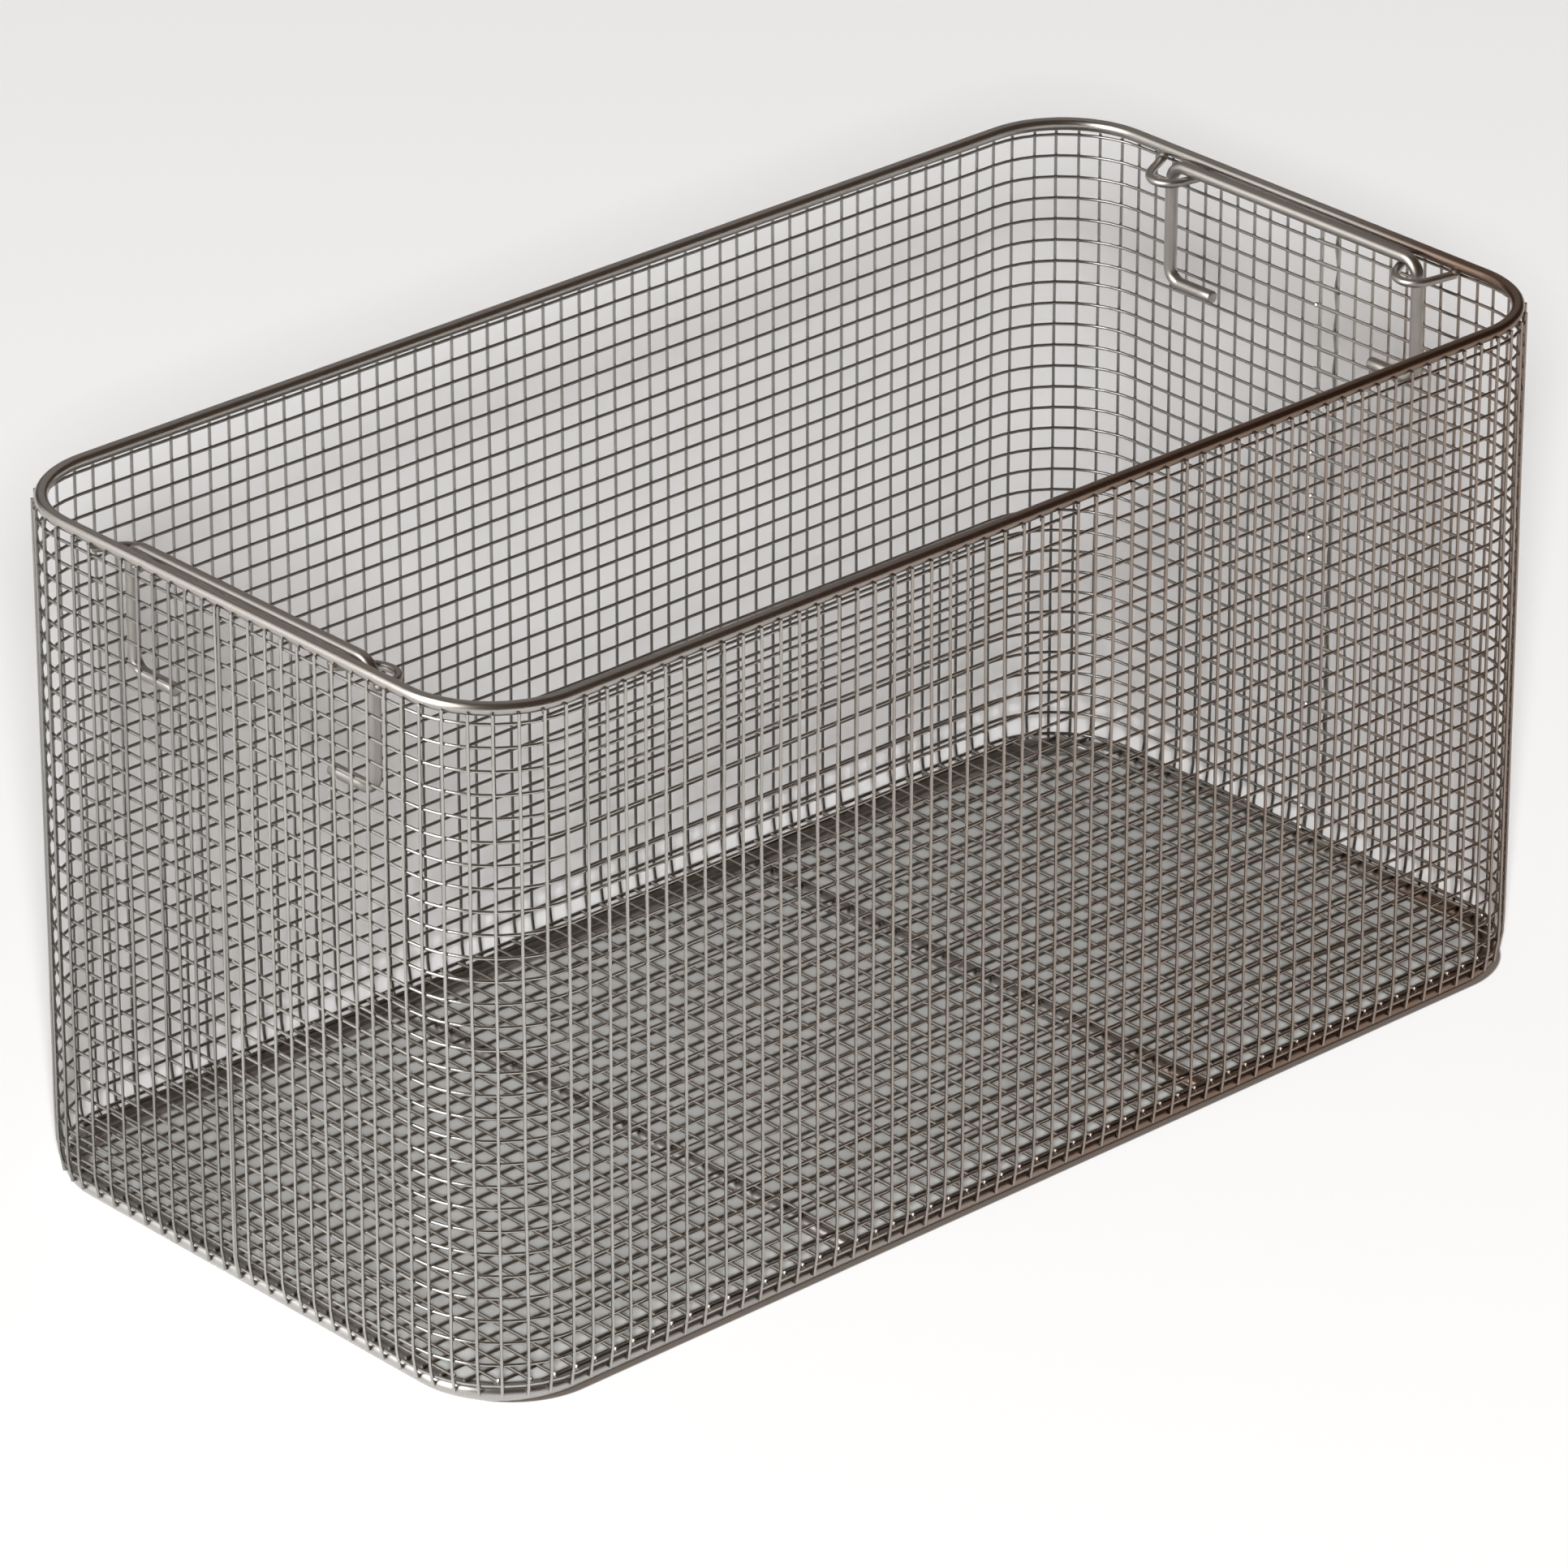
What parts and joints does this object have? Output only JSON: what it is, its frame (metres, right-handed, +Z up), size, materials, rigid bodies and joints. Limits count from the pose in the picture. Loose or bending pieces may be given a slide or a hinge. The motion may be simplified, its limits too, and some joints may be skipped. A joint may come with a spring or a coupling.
{
  "type": "sterilization basket",
  "caption": "Deep open sterilization basket of welded steel wire mesh on a rod frame, with a rounded rim rod and a sliding wire handle at each end.",
  "frame": {"origin": "middle of the footprint, on the surface that the bottom frame rests on", "axes": "+X along the long walls, +Y across to the rear long wall, +Z up out of the open top"},
  "size_m": [0.48, 0.242, 0.244],
  "materials": {
    "rod_steel": "electropolished stainless rod, glossy, with a soft grain",
    "mesh_steel": "drawn stainless wire, electropolished, with darker weld spots",
    "handle_steel": "polished stainless rod and wire"
  },
  "bodies": {
    "basket": {"top_rim": "rod_steel", "bottom_frame": "rod_steel", "floor_cross_bar_1": "rod_steel", "floor_cross_bar_2": "rod_steel", "floor_mesh": "mesh_steel", "front_mesh_wall": "mesh_steel", "front_mesh_corner_left": "mesh_steel", "front_mesh_corner_right": "mesh_steel", "front_mesh_end_left": "mesh_steel", "front_mesh_end_right": "mesh_steel", "rear_mesh_wall": "mesh_steel", "rear_mesh_corner_left": "mesh_steel", "rear_mesh_corner_right": "mesh_steel", "rear_mesh_end_left": "mesh_steel", "rear_mesh_end_right": "mesh_steel", "left_front_eyelet": "handle_steel", "left_rear_eyelet": "handle_steel", "right_front_eyelet": "handle_steel", "right_rear_eyelet": "handle_steel"},
    "handle_left": {"left_handle": "handle_steel"},
    "handle_right": {"right_handle": "handle_steel"}
  },
  "joints": [
    {"name": "left_handle_slide", "type": "slide", "parent": "basket", "child": "handle_left", "axis": [0, 0, 1], "range_m": [0, 0.035]},
    {"name": "right_handle_slide", "type": "slide", "parent": "basket", "child": "handle_right", "axis": [0, 0, 1], "range_m": [0, 0.035]}
  ]
}
